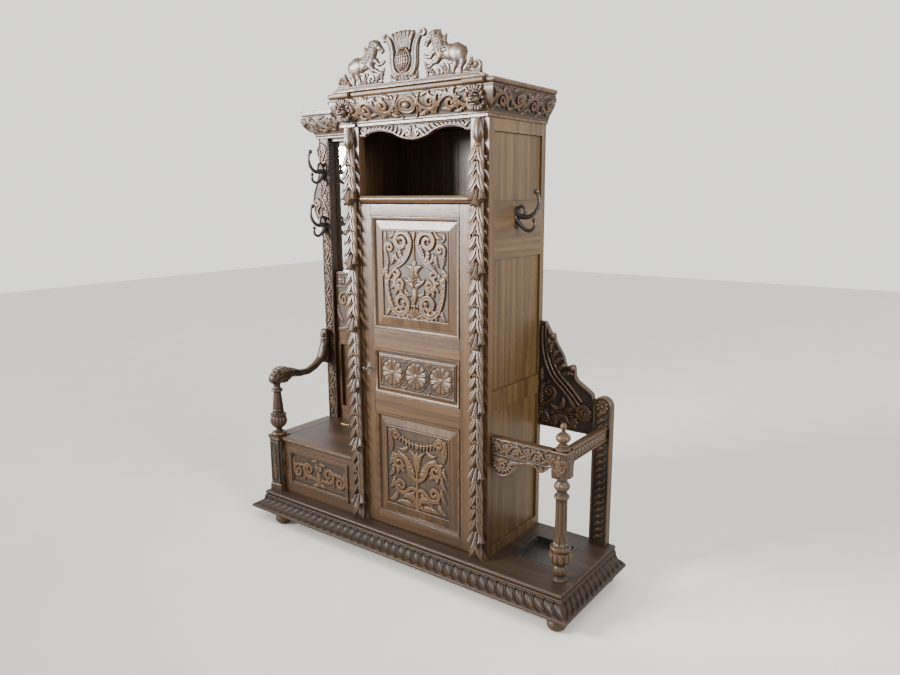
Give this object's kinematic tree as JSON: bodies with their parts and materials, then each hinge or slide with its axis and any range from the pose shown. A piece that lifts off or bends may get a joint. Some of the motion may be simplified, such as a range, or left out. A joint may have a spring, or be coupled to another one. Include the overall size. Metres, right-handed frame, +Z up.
{
  "type": "hall tree with hooks",
  "caption": "Tall carved wooden hall stand with a doored cabinet, hat niche, lidded box seat with arm and mirror, coat hooks, and an umbrella bay with a drip tray.",
  "frame": {"origin": "centre of the footprint at floor level", "axes": "+Z up, +Y towards the wall, +X towards the umbrella bay"},
  "size_m": [1.88, 0.571, 2.339],
  "materials": {
    "oak_carved": "dark waxed carved oak",
    "oak_board": "dark waxed oak",
    "oak_side": "dark waxed oak, duller",
    "hook_iron": "dark japanned iron",
    "hinge_iron": "aged steel",
    "old_brass": "aged brass",
    "looking_glass": "bevelled mirror",
    "tray_steel": "black paint"
  },
  "bodies": {
    "stand": {"bun_feet": "oak_carved", "plinth_mouldings": "oak_carved", "plinth_bearers": "oak_board", "deck_board": "oak_board", "front_stiles": "oak_board", "garland_left": "oak_carved", "garland_right": "oak_carved", "side_frame_left": "oak_side", "side_frame_right": "oak_side", "side_panels_left": "oak_side", "side_panels_right": "oak_side", "hook_board_right": "oak_side", "cabinet_back_boards": "oak_board", "niche_shelf": "oak_board", "apron": "oak_carved", "bed_moulding": "oak_board", "frieze_front": "oak_carved", "frieze_sides": "oak_carved", "cornice_top": "oak_board", "cornice_masks": "oak_carved", "crest_cartouche": "oak_carved", "crest_beast_left": "oak_carved", "crest_beast_right": "oak_carved", "crest_scrolls": "oak_carved", "post_hinge_leaves": "hinge_iron", "seat_post": "oak_carved", "seat_front_frame": "oak_board", "seat_front_panel": "oak_carved", "seat_side_panel": "oak_side", "seat_surround": "oak_board", "surround_hinge_leaves": "old_brass", "arm": "oak_carved", "arm_baluster": "oak_carved", "back_stile_left": "oak_carved", "back_bay_frame": "oak_board", "back_carved_panel": "oak_carved", "back_plain_panel": "oak_board", "mirror_glass": "looking_glass", "left_cornice": "oak_carved", "ear_bracket": "oak_carved", "hooks_left": "hook_iron", "hook_right": "hook_iron", "umbrella_rail_front": "oak_carved", "umbrella_rail_side": "oak_carved", "corner_column": "oak_carved", "back_post_right": "oak_carved", "back_panel_right": "oak_carved"},
    "door": {"door_frame": "oak_board", "door_mouldings": "oak_board", "door_panel_top": "oak_carved", "door_panel_middle": "oak_carved", "door_panel_bottom": "oak_carved", "door_hinge_leaves": "hinge_iron", "lock_case": "hinge_iron", "escutcheon": "hinge_iron"},
    "bolt": {"lock_bolt": "old_brass"},
    "key": {"key": "hinge_iron"},
    "lid": {"seat_lid": "oak_board", "lid_hinge_leaves": "old_brass"},
    "tray": {"drip_tray": "tray_steel"}
  },
  "joints": [
    {"name": "door_hinge", "type": "hinge", "parent": "stand", "child": "door", "pos_m": [0.405, -0.1637, 0.9], "axis": [0, 0, 1], "range_deg": [0, 100]},
    {"name": "key_turn", "type": "hinge", "parent": "door", "child": "key", "pos_m": [-0.172, -0.1575, 0.908], "axis": [0, 1, 0], "range_deg": [0, 180]},
    {"name": "bolt_throw", "type": "slide", "parent": "door", "child": "bolt", "axis": [-1, 0, 0], "range_m": [0, 0.01]},
    {"name": "seat_lid_hinge", "type": "hinge", "parent": "stand", "child": "lid", "pos_m": [-0.54, 0.1655, 0.4482], "axis": [-1, 0, 0], "range_deg": [0, 100]},
    {"name": "tray_lift", "type": "slide", "parent": "stand", "child": "tray", "axis": [0, 0, 1], "range_m": [0, 0.12]}
  ],
  "couplings": [
    {"joint": "key_turn", "follows": "bolt_throw", "rad_per_m": 314}
  ]
}
